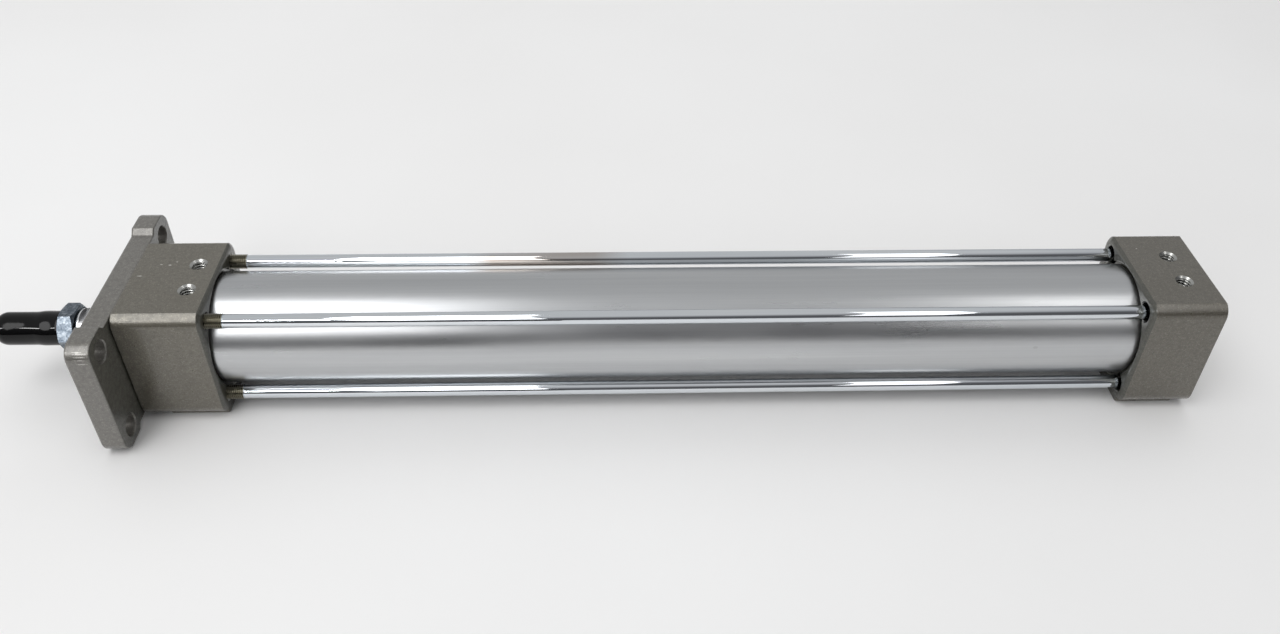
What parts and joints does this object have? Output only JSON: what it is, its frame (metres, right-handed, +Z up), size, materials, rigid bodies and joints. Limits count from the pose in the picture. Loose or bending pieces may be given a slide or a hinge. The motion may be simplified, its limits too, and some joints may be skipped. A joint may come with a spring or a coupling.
{
  "type": "pneumatic cylinder",
  "caption": "Long square-head tie-rod air cylinder with a front rectangular flange, round satin barrel, sliding piston rod, jam nut and slip-on thread cap.",
  "frame": {"origin": "bottom centre of the bounding box, on the plane of the two underside pads", "axes": "+X along the cylinder axis from the rod end to the rear cover, +Y across the flange away from the tapped-hole viewer side, +Z up through the face with the tapped holes"},
  "size_m": [0.4818, 0.0886, 0.0542],
  "materials": {
    "cast_head": "fine-grained cast surface with a grey-brown metallic paint",
    "cast_flange": "cast surface with a grey-brown metallic paint",
    "tube_alu": "drawn, clear anodised, satin",
    "zinc_rod": "bright zinc plate, drawn lengthwise",
    "zinc_hardware": "blue-white zinc plate",
    "dark_steel": "black oxide",
    "machined_steel": "turned",
    "hard_chrome": "ground and hard chrome plated",
    "piston_alu": "turned",
    "bronze": "sintered bronze",
    "rubber": "nitrile, satin",
    "urethane": "polyurethane, satin",
    "ptfe": "filled PTFE",
    "black_vinyl": "dipped vinyl, glossy"
  },
  "bodies": {
    "barrel": {"front_flange": "cast_flange", "flange_screw_1": "dark_steel", "flange_screw_2": "dark_steel", "flange_screw_3": "dark_steel", "flange_screw_4": "dark_steel", "front_head": "cast_head", "rod_gland": "machined_steel", "rod_bush": "bronze", "rod_seal": "urethane", "rod_wiper": "urethane", "gland_o_ring": "rubber", "cylinder_tube": "tube_alu", "front_tube_seal": "rubber", "rear_tube_seal": "rubber", "rear_cover": "cast_head", "front_cushion_seal": "urethane", "rear_cushion_seal": "urethane", "tie_rod_1": "zinc_rod", "tie_rod_2": "zinc_rod", "tie_rod_3": "zinc_rod", "tie_rod_4": "zinc_rod", "tie_rod_washer_1": "zinc_hardware", "tie_rod_washer_2": "zinc_hardware", "tie_rod_washer_3": "zinc_hardware", "tie_rod_washer_4": "zinc_hardware", "tie_rod_nut_1": "dark_steel", "tie_rod_nut_2": "dark_steel", "tie_rod_nut_3": "dark_steel", "tie_rod_nut_4": "dark_steel"},
    "rings": {"piston_seal_front": "urethane", "piston_seal_rear": "urethane", "piston_wear_ring": "ptfe"},
    "rod": {"piston": "piston_alu", "piston_o_ring": "rubber", "piston_rod": "hard_chrome", "front_cushion_sleeve": "machined_steel", "rear_cushion_spear": "machined_steel"},
    "nut": {"rod_jam_nut": "zinc_hardware"},
    "cap": {"rod_end_cap": "black_vinyl"},
    "front_needle_seal": {"front_needle_o_ring": "rubber"},
    "front_needle": {"front_cushion_needle": "machined_steel"},
    "rear_needle_seal": {"rear_needle_o_ring": "rubber"},
    "rear_needle": {"rear_cushion_needle": "machined_steel"}
  },
  "joints": [
    {"name": "rod_extend", "type": "slide", "parent": "barrel", "child": "rings", "axis": [-1, 0, 0], "range_m": [0, 0.3302]},
    {"name": "rod_turn", "type": "hinge", "parent": "rings", "child": "rod", "pos_m": [-0.18145, 0, 0.0274], "axis": [1, 0, 0], "continuous": true},
    {"name": "nut_turn", "type": "hinge", "parent": "rod", "child": "nut", "pos_m": [-0.21025, 0, 0.0274], "axis": [1, 0, 0], "continuous": true},
    {"name": "cap_pull_off", "type": "slide", "parent": "rod", "child": "cap", "axis": [-1, 0, 0], "range_m": [0, 0.0135]},
    {"name": "front_needle_out", "type": "slide", "parent": "barrel", "child": "front_needle_seal", "axis": [0, 1, 0], "range_m": [0, 0.002]},
    {"name": "front_needle_turn", "type": "hinge", "parent": "front_needle_seal", "child": "front_needle", "pos_m": [-0.16075, 0.0254, 0.0274], "axis": [0, 1, 0], "range_deg": [0, 960]},
    {"name": "rear_needle_out", "type": "slide", "parent": "barrel", "child": "rear_needle_seal", "axis": [0, 1, 0], "range_m": [0, 0.002]},
    {"name": "rear_needle_turn", "type": "hinge", "parent": "rear_needle_seal", "child": "rear_needle", "pos_m": [0.22385, 0.0254, 0.0274], "axis": [0, 1, 0], "range_deg": [0, 960]}
  ],
  "couplings": [
    {"joint": "front_needle_turn", "follows": "front_needle_out", "rad_per_m": 8377.6},
    {"joint": "rear_needle_turn", "follows": "rear_needle_out", "rad_per_m": 8377.6}
  ]
}
